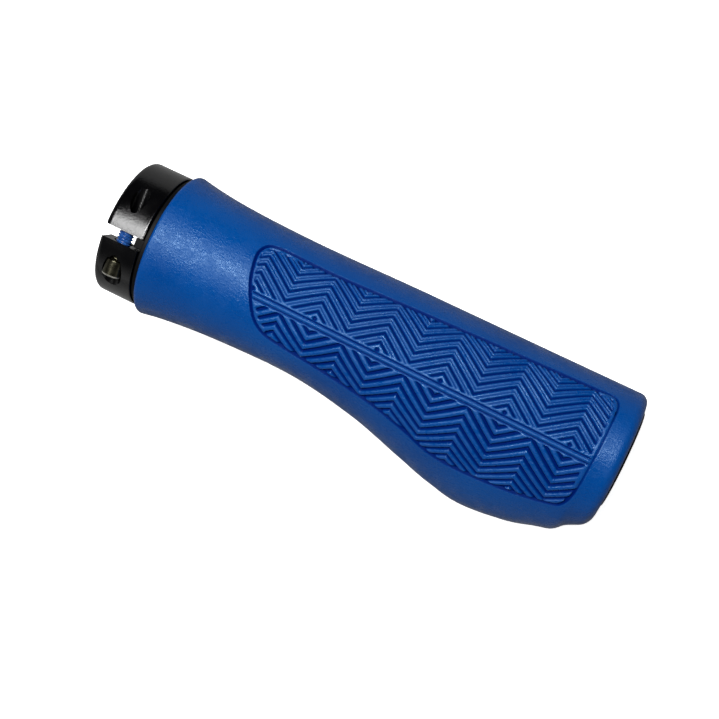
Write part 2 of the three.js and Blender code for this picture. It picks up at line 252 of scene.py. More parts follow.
light = {
    # lamps in mm, from the middle of the footprint
    "key": {"place": (-115, 112, 600), "aim": (-20, 0, 15), "size": (420, 255), "power": 3.9},
    "spark": {"place": (-48, 179, 610), "aim": (-40, 0, 30), "size": (55, 55), "power": 1.9},
    # brightness of the studio low down and overhead, and the heights between which it changes
    "horizon": 0.5, "zenith": 0.05, "heights": (0.05, 0.5),
    # share of it that comes from the palm's side and from the other, and where it changes
    "nearSide": 1, "farSide": 0.06, "sides": (-0.5, 0.5),
    "floorColour": "f6f6f6", "floorBounce": "868686", "floorLift": 0.85,
    "floorReach": 2.5,  # half the floor's side, in metres
}

for name in ("key", "spark"):
    lamp = light[name]
    data = bpy.data.lights.new(name, "AREA")
    data.shape = "RECTANGLE"
    data.size, data.size_y = (s * mm for s in lamp["size"])
    data.energy = lamp["power"]
    lampObject = bpy.data.objects.new(name, data)
    bpy.context.scene.collection.objects.link(lampObject)
    place = Vector(lamp["place"])
    turn = (Vector(lamp["aim"]) - place).to_track_quat("-Z", "Y").to_matrix().to_4x4()
    lampObject.matrix_world = Matrix.Translation(place * mm) @ turn

world = bpy.data.worlds.new("studio")
bpy.context.scene.world = world
world.use_nodes = True
tree = world.node_tree
direction = addNode(tree, "ShaderNodeTexCoord").outputs["Generated"]
parts = addNode(tree, "ShaderNodeSeparateXYZ", {}, {"Vector": direction})
heightSpan = spans(*light["heights"], light["horizon"], light["zenith"])
byHeight = addNode(tree, "ShaderNodeMapRange", heightSpan, {"Value": parts.outputs["Z"]})
sideSpan = spans(*light["sides"], light["nearSide"], light["farSide"])
bySide = addNode(tree, "ShaderNodeMapRange", sideSpan, {"Value": parts.outputs["Y"]})
studio = addNode(tree, "ShaderNodeMath", {"operation": "MULTIPLY"},
                 {0: byHeight.outputs["Result"], 1: bySide.outputs["Result"]})
# the camera sees plain white past the floor
seen = addNode(tree, "ShaderNodeLightPath").outputs["Is Camera Ray"]
strength = addNode(tree, "ShaderNodeMath", {"operation": "MAXIMUM"}, {0: studio.outputs[0], 1: seen})
tree.links.new(strength.outputs[0], tree.nodes["Background"].inputs["Strength"])
tree.nodes["Background"].inputs["Color"].default_value = (1, 1, 1, 1)

# Matt white board: pale floor, a little brighter to the camera so that it reads as white
floorMaterial, tree, shader = startMaterial("painted_board_matt_white", {
    "Roughness": 0.9, "Specular IOR Level": 0.1, "Emission Color": (1, 1, 1, 1)})
lightPath = addNode(tree, "ShaderNodeLightPath")
paleTones = {"data_type": "RGBA", 6: hexColour(light["floorBounce"]), 7: hexColour(light["floorColour"])}
pale = addNode(tree, "ShaderNodeMix", paleTones, {0: lightPath.outputs["Is Camera Ray"]})
tree.links.new(pale.outputs[2], shader.inputs["Base Color"])
lift = addNode(tree, "ShaderNodeMath", {"operation": "MULTIPLY", 1: light["floorLift"]},
               {0: lightPath.outputs["Is Camera Ray"]})
tree.links.new(lift.outputs[0], shader.inputs["Emission Strength"])
fibres = addNode(tree, "ShaderNodeTexNoise", {"Scale": 1 / 1.5, "Detail": 3}, {"Vector": millimetres(tree)})
tree.links.new(addNode(tree, "ShaderNodeBump", {"Strength": 0.05, "Distance": 0.0001},
                       {"Height": fibres.outputs["Fac"]}).outputs[0], shader.inputs["Normal"])
bm = bmesh.new()
bmesh.ops.create_grid(bm, x_segments=1, y_segments=1, size=light["floorReach"])
floor = newObject("floor", bm)
floor.data.materials.append(floorMaterial)
print("camera, light and floor are set")


# Rubber sleeve: one closed skin, mapped from a grid whose rows run round the section and
# whose columns run along the bar, out over the surface and back through the bore

sleeve = {
    "start": 11.4, "end": 129.45,
    "flangeRadius": 18.05, "neckRadius": 15.25, "barrelRadius": 15.65, "holeRadius": 13.3,
    "flareLength": 12.9, "neckPlace": 30.6, "barrelPlace": 62.4,
    "flangeFillet": 1.0, "endFillet": 2.2, "plugHole": 12.3, "plugSeat": 127.9, "plugChamfer": 0.25,
    # how many columns the skin has round each edge and along each plain stretch
    "flangeColumns": 5, "neckColumns": 18, "endColumns": 5, "lipColumns": 8, "boreColumns": 9,
    "wingReach": 11.42, "wingLean": math.radians(100), "wingSteps": 30,
    # distance from the outboard end, share of the wing's reach
    "wingOutline": [(84.1, 0), (76.2, 0.03), (68.2, 0.12), (58.3, 0.3), (48.4, 0.58), (38.4, 0.855),
                    (29.5, 1), (18.5, 0.895), (10.6, 0.68), (7.1, 0.57), (4.6, 0.35), (0, 0.13)],
}

# Rows lie along the tread's rib, away from the palm (first value of a pair) or towards it (second)
tread = {
    "ribLine": ((34.9, 1.3), (123.4, 6.5)),  # place along the bar, turn from straight up in degrees
    "rows": (96, 100), "coarseRows": (16, 21),  # on the tread, and on the rest of the section
    "rowWidth": (0.2007, 0.2207), "rowShrink": (0.00012, 0.00035),
    "rowsInSpacing": 12, "firstGrooveRow": (4.67, 11.03),
    "period": 15.89, "diamondPlace": 53.69, "columnsInPeriod": 60, "columnsFrom": 34.2, "columnsTo": 124.3,
    "sink": 0.12, "wall": 0.18, "edgeShade": 0.5,
    # the pit's wall is a share of its radius
    "pitPlace": 1.45, "pitRadius": 0.65, "pitDepth": 0.75, "pitWall": 0.4,
    # depth at each row away from a groove's middle
    "grooveSections": ([0.75, 0.5, 0.12, 0.02, 0.0, 0.0, 0.0], [0.78, 0.7, 0.45, 0.15, 0.03, 0.0, 0.0]),
    # a thin line beside each groove that lies away from the palm: row, depth, and rows to each side
    "hairlineRow": 6, "hairlineDepth": 0.4, "hairlineReach": 1.2,
    # distance from the rib's middle and depth
    "ribFrom": (0, 0.2, 0.42, 0.62, 0.82, 1.0), "ribDepths": (0, 0.03, 0.16, 0.8, 0.5, 0.12),
    "ribLand": (1.3, 1.05), "ribLandWall": 0.2, "ribEndGap": 0.1, "ribEndLength": 0.3,
    "frameGroove": 0.55, "frameDepth": 0.85,
    "thinGroove": 0.3, "thinDepth": 0.6, "thinFrom": (117, 121), "thinTo": (6, 9),  # at the outboard end
    # a land between the frame groove and the ends of the grooves
    "landEnd": 1.1, "landTip": 0.25, "landTo": 44, "tipRows": (-1, 6.5), "tipDepth": 0.45,
    # cells away from a contour between which a vertex moves onto it, or onto the foot of its wall
    "snapCells": (-0.5, 0.5, 1.45), "slack": 0.02, "curveSteps": 6,
    # place along the bar and length along the surface from the rib, towards the palm
    "outline": [(36.1, -12.75), (38.4, -13.6), (41.3, -13.75), (54.2, -13.75), (69.1, -14.65),
                (93.7, -16.05), (107.1, -16.74), (118.2, -17.3), (120.7, -17.5), (122.4, -17.1),
                (123.5, -15.4), (123.75, -13), (123.65, -6), (123.4, 1), (123.1, 7.5),
                (122.5, 11), (121.3, 13.4), (119.3, 14.6), (112.3, 16.1), (104.4, 17.09),
                (96.1, 17.62), (91.2, 17.49), (87.2, 16.64), (82.2, 14.71), (73.8, 12.37),
                (65.3, 10.93), (57.2, 9.99), (50.2, 9.2), (45.1, 8.4), (42.7, 7.4),
                (40.8, 5.75), (39.2, 3.5), (36.5, -2.1), (35.1, -7.0), (34.8, -10.2)],
}


def curveThrough(points, steps, closed):
    # A smooth curve through the points, evenly stepped between each two
    known = np.array(points, float)
    count = len(known)
    spans = count if closed else count - 1
    made = []
    for i in range(spans):
        if closed:
            a, b, c, d = (known[(i + k) % count] for k in (-1, 0, 1, 2))
        else:
            a, b, c, d = known[max(i - 1, 0)], known[i], known[i + 1], known[min(i + 2, count - 1)]
        for share in np.arange(steps) / steps:
            leave, arrive = (c - a) / 2, (d - b) / 2
            made.append((2 * b - 2 * c + leave + arrive) * share ** 3
                        + (3 * c - 3 * b - 2 * leave - arrive) * share ** 2 + leave * share + b)
    if not closed:
        made.append(known[-1])
    return np.array(made)


wingPoints = [(sleeve["end"] - back, share) for back, share in sleeve["wingOutline"]]
wingCurve = curveThrough(wingPoints, sleeve["wingSteps"], False)


def barrelAt(x):
    # Radius of the sleeve without its wing
    along = x - sleeve["start"]
    share = np.clip((along - sleeve["neckPlace"]) / (sleeve["barrelPlace"] - sleeve["neckPlace"]), 0, 1)
    flare = (sleeve["flangeRadius"] - sleeve["neckRadius"]) * np.exp(-along / sleeve["flareLength"])
    grown = (sleeve["barrelRadius"] - sleeve["neckRadius"]) * share * share * (3 - 2 * share)
    return sleeve["neckRadius"] + flare + grown


def wingAt(x):
    # How far the palm wing stands out
    return sleeve["wingReach"] * np.maximum(0, np.interp(x, wingCurve[:, 0], wingCurve[:, 1]))


def skinPoint(x, turn, depth):
    # A place on the skin: the wing is a smooth lobe, and the slide keeps the depth square to it
    lean = turn - sleeve["wingLean"]
    lobe = np.maximum(0, np.cos(lean))
    reach = barrelAt(x) + wingAt(x) * lobe * lobe - depth
    slide = -2 * wingAt(x) * lobe * np.sin(lean)
    return np.stack([x, -reach * np.sin(turn) - slide * np.cos(turn),
                     reach * np.cos(turn) - slide * np.sin(turn)], axis=-1)


def arcLength(x, turn):
    # Length along the section from straight up
    past = np.maximum(0, turn - sleeve["wingLean"] + math.pi / 2)
    lobe = np.where(past > 0, 0.5 * past - 0.75 * np.sin(2 * (turn - sleeve["wingLean"])), 0)
    return barrelAt(x) * turn + wingAt(x) * lobe


def turnAtArc(x, length):
    # The turn at that length, halved from a span a little wider than a full turn until it is exact
    widest, halvings = 1.2 * math.pi, 44
    low = np.full_like(length, -widest)
    high = np.full_like(length, widest)
    for _ in range(halvings):
        middle = (low + high) / 2
        short = arcLength(x, middle) < length
        low = np.where(short, middle, low)
        high = np.where(short, high, middle)
    return (low + high) / 2


def ribTurn(x):
    # Where the tread's rib lies, as a turn from straight up
    places, turns = zip(*tread["ribLine"])
    return np.radians(np.interp(x, places, turns))


columnStep = tread["period"] / tread["columnsInPeriod"]


def ofSide(level, name):
    return np.where(level < 0, tread[name][0], tread[name][1])


def rowPlace(level):
    # length along the surface from the rib to a row; rows grow a little narrower away from it
    rows = np.abs(level)
    return np.sign(level) * (ofSide(level, "rowWidth") * rows - ofSide(level, "rowShrink") * rows ** 2)


def sleeveColumns():
    # each column: place along the bar, inset from the skin, or a radius where it is in the bore
    start, end = sleeve["start"], sleeve["end"]
    columns = [(start, 0, sleeve["holeRadius"])]
    for angle in np.linspace(0, math.pi / 2, sleeve["flangeColumns"] + 1):
        columns.append((start + sleeve["flangeFillet"] * (1 - math.cos(angle)),
                        sleeve["flangeFillet"] * (1 - math.sin(angle)), 0))
    first = math.ceil((tread["columnsFrom"] - tread["diamondPlace"]) / columnStep)
    last = math.floor((tread["columnsTo"] - tread["diamondPlace"]) / columnStep)
    fine = [tread["diamondPlace"] + columnStep * i for i in range(first, last + 1)]
    flat = start + sleeve["flangeFillet"]
    endFlat = end - sleeve["endFillet"]
    columns += [(x, 0, 0) for x in np.linspace(flat, fine[0], sleeve["neckColumns"] + 1)[1:-1]]
    columns += [(x, 0, 0) for x in fine]
    columns += [(x, 0, 0) for x in np.linspace(fine[-1], endFlat, sleeve["endColumns"] + 1)[1:-1]]
    for angle in np.linspace(0, math.pi / 2, sleeve["lipColumns"] + 1):
        columns.append((endFlat + sleeve["endFillet"] * math.sin(angle),
                        sleeve["endFillet"] * (1 - math.cos(angle)), 0))
    hole, chamfer = sleeve["plugHole"], sleeve["plugChamfer"]
    seat, bore = sleeve["plugSeat"], sleeve["holeRadius"]
    columns += [(end, 0, hole + chamfer), (end - chamfer, 0, hole), (seat, 0, hole), (seat, 0, bore)]
    columns += [(x, 0, bore) for x in np.linspace(seat, start, sleeve["boreColumns"] + 1)[1:]]
    return np.array(columns)


def outlineDistance(points, outline):
    # Distance inside the tread's outline, and the nearest place on it
    starts = outline
    ends = np.roll(outline, -1, axis=0)
    spans = ends - starts
    distance = np.empty(len(points))
    nearest = np.empty_like(points)
    chunkSize = 6000  # keeps the arrays small
    for first in range(0, len(points), chunkSize):
        chunk = points[first:first + chunkSize, None, :]
        share = np.clip(((chunk - starts) * spans).sum(-1) / (spans ** 2).sum(-1), 0, 1)
        places = starts + share[..., None] * spans
        gaps = np.linalg.norm(chunk - places, axis=-1)
        best = gaps.argmin(1)
        rows = np.arange(len(best))
        above = (starts[:, 1] > chunk[..., 1]) != (ends[:, 1] > chunk[..., 1])
        rise = np.where(spans[:, 1] == 0, 1e-9, spans[:, 1])
        crossing = starts[:, 0] + (chunk[..., 1] - starts[:, 1]) / rise * spans[:, 0]
        inside = (above & (chunk[..., 0] < crossing)).sum(1) % 2 == 1
        distance[first:first + chunkSize] = np.where(inside, 1, -1) * gaps[rows, best]
        nearest[first:first + chunkSize] = places[rows, best]
    return distance, nearest


def thinShare(x, across):
    # 1 where the frame groove is only a thin line, beside the outboard end
    along = np.clip((x - tread["thinFrom"][0]) / (tread["thinFrom"][1] - tread["thinFrom"][0]), 0, 1)
    return along * np.clip((tread["thinTo"][1] - across) / (tread["thinTo"][1] - tread["thinTo"][0]), 0, 1)


def treadDepth(x, level, across, inside, thin, frameGroove):
    # How deep the tread is carved, from the row, the length from the rib and from the outline
    swing = np.abs(((x - tread["diamondPlace"]) / tread["period"] + 0.5) % 1 - 0.5) * 2
    # rows from the nearest groove's middle: a groove runs along the cells' diagonals
    along = np.abs(level) + swing * tread["columnsInPeriod"] / 2 - ofSide(level, "firstGrooveRow")
    spacing = tread["rowsInSpacing"]
    offset = (along + spacing / 2) % spacing - spacing / 2
    rows = np.arange(spacing / 2 + 1)
    sections = [np.interp(np.abs(offset), rows, section) for section in tread["grooveSections"]]
    upper = level < 0
    ridge = np.where(upper, sections[0], sections[1])
    fromHairline = np.abs((offset - tread["hairlineRow"] + spacing / 2) % spacing - spacing / 2)
    hairline = np.clip(tread["hairlineReach"] - fromHairline, 0, 1)
    ridge += np.where(upper & (along > spacing), tread["hairlineDepth"] * hairline, 0)
    # away from the palm and at the inboard end, grooves stop at a land, each closed round its hairline
    land = (thin > 0.5) | (x < tread["landTo"])
    tip = (offset > tread["tipRows"][0]) & (offset < tread["tipRows"][1]) & upper
    tipDepth = np.where(tip, tread["tipDepth"], 0)
    ridge = np.where(land & (inside < tread["landEnd"] + tread["landTip"]), tipDepth, ridge)
    ridge = np.where(land & (inside < tread["landEnd"]), 0, ridge) + tread["sink"]
    frame = tread["frameDepth"] + (tread["thinDepth"] - tread["frameDepth"]) * thin
    ridge = np.where(inside < frameGroove + tread["slack"], frame, ridge)
    rib = np.interp(np.abs(across), tread["ribFrom"], tread["ribDepths"])
    ribEnd = np.clip((inside - frameGroove - tread["ribEndGap"]) / tread["ribEndLength"], 0, 1)
    share = np.clip((np.abs(across) - ofSide(level, "ribLand")) / tread["ribLandWall"], 0, 1)
    depth = np.where(share < 1, ridge + (rib - ridge) * (1 - share) * ribEnd, ridge)
    # a round pit in the middle of each diamond away from the palm
    fromPit = np.hypot(swing * tread["period"] / 2, across + tread["pitPlace"]) / tread["pitRadius"]
    depth = np.maximum(depth, tread["pitDepth"] * np.clip((1 - fromPit) / tread["pitWall"], 0, 1))
    return np.where(inside > 0, depth * np.clip(inside / tread["wall"], 0, 1), 0)


def sleeveMesh():
    columns = sleeveColumns()
    rowsUp, rowsDown = tread["rows"]
    coarseUp, coarseDown = tread["coarseRows"]
    rowCount = rowsUp + rowsDown + coarseUp + coarseDown
    bm = bmesh.new()
    bmesh.ops.create_grid(bm, x_segments=len(columns) - 1, y_segments=rowCount, size=1)
    grid = np.array([v.co[:2] for v in bm.verts])
    column = np.rint((grid[:, 0] + 1) / 2 * (len(columns) - 1)).astype(int)
    row = np.rint((grid[:, 1] + 1) / 2 * rowCount).astype(int)
    x, inset, radius = columns[column].T.copy()
    # rows are a set length apart on the tread, and share what is left as far as the seam
    level = row - coarseUp - rowsUp
    across = rowPlace(np.clip(level, -rowsUp, rowsDown))
    atRib = arcLength(x, ribTurn(x))
    farUp = arcLength(x, np.full_like(x, -math.pi)) - atRib
    farDown = arcLength(x, np.full_like(x, math.pi)) - atRib
    across += np.clip((-level - rowsUp) / coarseUp, 0, 1) * (farUp - across)
    across += np.clip((level - rowsDown) / coarseDown, 0, 1) * (farDown - across)
    # carve the tread
    outline = curveThrough(tread["outline"], tread["curveSteps"], True)
    near = (x > tread["columnsFrom"]) & (x < tread["columnsTo"]) & (radius == 0)
    near &= (level >= -rowsUp) & (level <= rowsDown)
    points = np.stack([x[near], across[near]], axis=-1)
    inside, nearest = outlineDistance(points, outline)
    reach = np.where(np.abs(inside) < 1e-6, 1e-6, inside)[:, None]
    inward = (points - nearest) / reach
    rowStep = np.abs(rowPlace(level[near] + 1) - rowPlace(level[near]))
    cell = np.maximum(rowStep * np.abs(inward[:, 1]), columnStep * np.abs(inward[:, 0]))
    thin = thinShare(*points.T)
    frameGroove = tread["frameGroove"] + (tread["thinGroove"] - tread["frameGroove"]) * thin
    before, after, last = tread["snapCells"]
    for contour in (0 * thin, frameGroove):
        gap = inside - contour
        for line, low, high in ((contour, before, after), (contour + tread["wall"], after, last)):
            snapped = (gap > low * cell) & (gap <= high * cell)
            points[snapped] = nearest[snapped] + inward[snapped] * line[snapped, None]
            inside = np.where(snapped, line, inside)
    x[near], across[near] = points.T
    depth = inset.copy()
    carved = treadDepth(x[near], level[near], across[near], inside, thin, frameGroove)
    depth[near] += carved
    turns = turnAtArc(x, atRib + across)
    places = skinPoint(x, turns, depth)
    bore = radius > 0
    borePlaces = [x[bore], -radius[bore] * np.sin(turns[bore]), radius[bore] * np.cos(turns[bore])]
    places[bore] = np.stack(borePlaces, axis=-1)
    carvingAndShade = np.zeros(len(x))
    # painted shade: the tread's outline gets a value of its own, so that the rubber's base colour darkens
    # into a thin dark line along it
    carvingAndShade[near] = np.maximum(carved, np.where(np.abs(inside) < tread["slack"], tread["edgeShade"], 0))
    layer = bm.verts.layers.float.new("carvingAndShade")
    for vert, place, value in zip(bm.verts, places, carvingAndShade):
        vert.co = place
        vert[layer] = value
    # split the tread's cells between the two corners of the most alike depth, so that the
    # edges of the grooves and of the frame run straight
    split = {"FIXED": [], "ALTERNATE": []}
    bm.verts.index_update()
    for face in bm.faces:
        ids = [v.index for v in face.verts]
        a, b, c, d = carvingAndShade[ids]
        if max(a, b, c, d) > 0:
            split["FIXED" if abs(a - c) < abs(b - d) else "ALTERNATE"].append(face)
    for method, faces in split.items():
        bmesh.ops.triangulate(bm, faces=faces, quad_method=method)
    bmesh.ops.remove_doubles(bm, verts=bm.verts, dist=mergeReach)
    bmesh.ops.recalc_face_normals(bm, faces=bm.faces)
    return bm


# Moulded thermoplastic rubber: dense blue with a dull satin skin, finely textured by the
# mould and rubbed here and there, so that highlights break up into flecks
rubber, tree, shader = startMaterial("thermoplastic_rubber_moulded_blue", {
    "IOR": 1.5, "Specular Tint": hexColour("b8e0ff")})
place = millimetres(tree)
cloud = addNode(tree, "ShaderNodeTexNoise", {"Scale": 1 / 22, "Detail": 3}, {"Vector": place})
share = addNode(tree, "ShaderNodeMapRange", spans(0.3, 0.7, 0, 1), {"Value": cloud.outputs["Fac"]})
tone = addNode(tree, "ShaderNodeMix", {"data_type": "RGBA", 6: hexColour("003b7f"), 7: hexColour("004389")},
               {0: share.outputs["Result"]})
carvingAndShade = addNode(tree, "ShaderNodeAttribute", {"attribute_name": "carvingAndShade"}).outputs["Fac"]
# painted shade: the base colour darkens towards deep blue in the grooves, most on their floors, and along
# the tread's outline, where shade falls
inGroove = addNode(tree, "ShaderNodeMapRange", spans(0.2, 0.65, 0, 1), {"Value": carvingAndShade})
grooveShade = addNode(tree, "ShaderNodeMix", {"data_type": "RGBA", 7: hexColour("00185a")},
               {0: inGroove.outputs["Result"], 6: tone.outputs[2]})
tree.links.new(grooveShade.outputs[2], shader.inputs["Base Color"])
onTread = addNode(tree, "ShaderNodeMapRange", spans(0.02, 0.1, 0.36, 0.6), {"Value": carvingAndShade})
outOfGroove = addNode(tree, "ShaderNodeMapRange", spans(0.2, 0.55, 1, 0.05), {"Value": carvingAndShade})
sheen = addNode(tree, "ShaderNodeMath", {"operation": "MULTIPLY"},
                {0: onTread.outputs["Result"], 1: outOfGroove.outputs["Result"]})
tree.links.new(sheen.outputs[0], shader.inputs["Specular IOR Level"])
squashed = millimetres(tree, (1, 1.5, 1))
scuffs = addNode(tree, "ShaderNodeTexNoise", {"Scale": 1 / 1.1, "Detail": 6, "Roughness": 0.7,
                                              "Distortion": 0.6}, {"Vector": squashed})
patches = addNode(tree, "ShaderNodeTexNoise", {"Scale": 1 / 4.5, "Detail": 4, "Distortion": 0.6},
                  {"Vector": place})
scuffed = addNode(tree, "ShaderNodeMapRange", spans(0.46, 0.6, 0.32, 0.17), {"Value": scuffs.outputs["Fac"]})
dulled = addNode(tree, "ShaderNodeMapRange", spans(0.42, 0.58, 0.15, 0), {"Value": patches.outputs["Fac"]})
both = addNode(tree, "ShaderNodeMath", {"operation": "ADD"},
               {0: scuffed.outputs["Result"], 1: dulled.outputs["Result"]})
tree.links.new(both.outputs[0], shader.inputs["Roughness"])
grain = addNode(tree, "ShaderNodeTexNoise", {"Scale": 1 / 0.4, "Detail": 3}, {"Vector": place})
height = addNode(tree, "ShaderNodeMath", {"operation": "MULTIPLY_ADD", 1: 1.8},
                 {0: scuffs.outputs["Fac"], 2: grain.outputs["Fac"]})
skinBump = addNode(tree, "ShaderNodeBump", {"Strength": 1.0, "Distance": 0.00007},
                   {"Height": height.outputs[0]})
tree.links.new(skinBump.outputs[0], shader.inputs["Normal"])

finishPiece("sleeve_skin", sleeveMesh(), [rubber], "grip_sleeve", sharpAngle=180)


# Clamp ring and its screw

ring = {
    "width": 9.8, "radius": 16.6, "bore": 11.15, "outerRound": 1.4, "chamfer": 0.4, "facets": 144,
    # width of the broken edges, and the turn in degrees from which an edge is sharp
    "edgeBreak": 0.16, "sharpFrom": 50,
    "slit": 3, "slitHeight": 20, "lugCorner": 0.8, "lugSteps": 5,
    "seat": 5.8, "pocketRadius": 2.55, "plainHole": 2.3, "screwHole": 1.9,
    # where the cutters end: outside the pocket, past the seat, in the slit, outside the ring
    "cutEnds": (-20, -8, 0.1, 18),
    # the slit's outer edges: how near to its wall and to the ring's radius they lie, and their least length
    "rimReach": 0.01, "rimDepth": 0.3, "rimLength": 1,
    # where the painted highlight on the outboard edge begins above the bore, and ends beside the slit
    "highlightHeight": 2, "highlightCorner": 3,
}

screw = {
    "fromAxis": 13.6, "underHead": -6.1, "headHeight": 3.9, "headRadius": 2.25, "headChamfer": 0.4,
    "socketWidth": 3, "socketDepth": 2.2, "length": 10,
    "crestRadius": 1.93, "rootRadius": 1.52, "pitch": 0.7,
    # slope and root flat of the thread's wave, inset and slope of the tapered tip
    "waveSlope": 2.6, "waveFlat": 0.3, "tipInset": 0.1, "tipSlope": 0.9,
    "stepsAround": 40, "stepsInPitch": 10,
    "underRound": 0.15, "facets": 64, "sunk": 1,  # how far the shank reaches into the head
    "patch": (-2.6, 2.4), "patchRadius": 2,  # where the thread-lock coating lies
}

centre = 0.01  # radius of the small hole that a turned body keeps at its axis until it is filled


def threadedShank(start, end):
    # A threaded bar along Y: a grid round the screw's axis, waved by the thread, with a tapered tip
    root = screw["rootRadius"]
    lengths = math.ceil((end - start) / screw["pitch"] * screw["stepsInPitch"])
    bm = bmesh.new()
    bmesh.ops.create_grid(bm, x_segments=lengths + 2, y_segments=screw["stepsAround"], size=1)
    for vert in bm.verts:
        step = round((vert.co.x + 1) / 2 * (lengths + 2)) - 1
        angle = (vert.co.y + 1) * math.pi
        y = start + (end - start) * min(max(step, 0), lengths) / lengths
        phase = (y / screw["pitch"] - angle / (2 * math.pi)) % 1
        wave = min(max((0.5 - abs(phase - 0.5)) * screw["waveSlope"] - screw["waveFlat"], 0), 1)
        radius = root + (screw["crestRadius"] - root) * wave
        radius = min(radius, root - screw["tipInset"] + (end - y) * screw["tipSlope"])
        if step < 0 or step > lengths:
            radius = 0
        x = ring["width"] / 2 + radius * math.cos(angle)
        z = screw["fromAxis"] + radius * math.sin(angle)
        vert.co = (x, y, z)
    bmesh.ops.remove_doubles(bm, verts=bm.verts, dist=mergeReach)
    bmesh.ops.recalc_face_normals(bm, faces=bm.faces)
    return bm


def slitCutter(half, corner):
    # The slit, widened by a round at the inboard end of each lug
    angles = np.linspace(math.pi / 2, 0, ring["lugSteps"] + 1)
    arc = [(corner * (1 - math.sin(a)), half + corner * (1 - math.cos(a))) for a in angles]
    # it starts and ends outside the ring
    side = [(-1, half + corner), *arc, (ring["width"] + 1, half)]
    bm = bmesh.new()
    verts = [bm.verts.new((x, y, 0)) for x, y in side + [(x, -y) for x, y in reversed(side)]]
    face = bm.faces.new(verts)
    made = bmesh.ops.extrude_face_region(bm, geom=[face])["geom"]
    raised = [g for g in made if isinstance(g, bmesh.types.BMVert)]
    bmesh.ops.translate(bm, verts=raised, vec=(0, 0, ring["slitHeight"]))
    bmesh.ops.recalc_face_normals(bm, faces=bm.faces)
    return bm


def onSlitRim(vert, half):
    beside = abs(abs(vert.co.y) - half) < ring["rimReach"]
    return beside and vert.co.z > ring["radius"] - ring["rimDepth"]


def ringMesh():
    width, radius, bore, chamfer = ring["width"], ring["radius"], ring["bore"], ring["chamfer"]
    outline = [(0, bore), (0, radius), (width, radius), (width, bore)]
    rounds = [chamfer, ring["outerRound"], chamfer, chamfer]
    bm = turnedBody(roundedCorners(outline, rounds, 5), ring["facets"])
    half = ring["slit"] / 2
    pocketEnd, seatEnd, slitEnd, holeEnd = ring["cutEnds"]
    bm = cutWith(bm, [slitCutter(half, ring["lugCorner"]),
                      bar(ring["plainHole"], seatEnd, slitEnd),
                      bar(ring["pocketRadius"], pocketEnd, -ring["seat"]),
                      bar(ring["screwHole"], slitEnd, holeEnd)])
    # the slit's long outer edges stay crisp, and the other sharp edges are broken
    crisp = [e for e in bm.edges if all(onSlitRim(v, half) for v in e.verts)
             and e.calc_length() > ring["rimLength"]]
    breakEdges(bm, [e for e in sharpEdges(bm, ring["sharpFrom"]) if e not in crisp], ring["edgeBreak"])
    # painted highlight: faces on the outboard chamfer above the slit take the bright edge material
    for face in bm.faces:
        middle = face.calc_center_median()
        edge = width - chamfer < middle.x < width and middle.z > bore + ring["highlightHeight"]
        if edge and 0 < middle.y < half + ring["highlightCorner"]:
            face.material_index = 1
    return bm


# Black anodised aluminium: turned and tumbled, a dark sheen with soft pale reflections
anodised, tree, shader = startMaterial("aluminium_anodised_black", {
    "Base Color": hexColour("020203"), "Specular IOR Level": 0.68})
place = millimetres(tree)
tumbled = addNode(tree, "ShaderNodeTexNoise", {"Scale": 1 / 0.5, "Detail": 4, "Roughness": 0.7},
                  {"Vector": place})
smears = addNode(tree, "ShaderNodeTexNoise", {"Scale": 1 / 4, "Detail": 3}, {"Vector": place})
gloss = addNode(tree, "ShaderNodeMapRange", spans(0.3, 0.7, 0.13, 0.22), {"Value": smears.outputs["Fac"]})
tree.links.new(gloss.outputs["Result"], shader.inputs["Roughness"])
tree.links.new(addNode(tree, "ShaderNodeBump", {"Strength": 0.6, "Distance": 0.00005},
                       {"Height": tumbled.outputs["Fac"]}).outputs[0], shader.inputs["Normal"])

# Painted highlight on the ring's outboard edge above the slit: a bright, partly metallic finish that stands
# in for a glint of light, a thin bright line
edgeHighlight, tree, shader = startMaterial("aluminium_edge_painted_highlight", {"Metallic": 0.4, "Roughness": 0.4})
glintNoise = addNode(tree, "ShaderNodeTexNoise", {"Scale": 1 / 0.7, "Detail": 3}, {"Vector": millimetres(tree)})
share = addNode(tree, "ShaderNodeMapRange", spans(0.4, 0.6, 0, 1), {"Value": glintNoise.outputs["Fac"]})
tint = addNode(tree, "ShaderNodeMix", {"data_type": "RGBA", 6: hexColour("55565a"), 7: hexColour("dddbd6")},
               {0: share.outputs["Result"]})
tree.links.new(tint.outputs[2], shader.inputs["Base Color"])

finishPiece("clamp_ring", ringMesh(), [anodised, edgeHighlight], "lock_collar", tilt=clampTurn)

# Blackened steel, a little worn: a dull olive grey metal
steel, tree, shader = startMaterial("steel_black_oxide", {"Metallic": 1.0})
place = millimetres(tree)
worn = addNode(tree, "ShaderNodeTexNoise", {"Scale": 1 / 0.8, "Detail": 4}, {"Vector": place})
gloss = addNode(tree, "ShaderNodeMapRange", spans(0.3, 0.7, 0.24, 0.3), {"Value": worn.outputs["Fac"]})
tree.links.new(gloss.outputs["Result"], shader.inputs["Roughness"])
share = addNode(tree, "ShaderNodeMapRange", spans(0.3, 0.7, 0, 1), {"Value": worn.outputs["Fac"]})
tint = addNode(tree, "ShaderNodeMix", {"data_type": "RGBA", 6: hexColour("4c4a3e"), 7: hexColour("5e5c4c")},
               {0: share.outputs["Result"]})
tree.links.new(tint.outputs[2], shader.inputs["Base Color"])

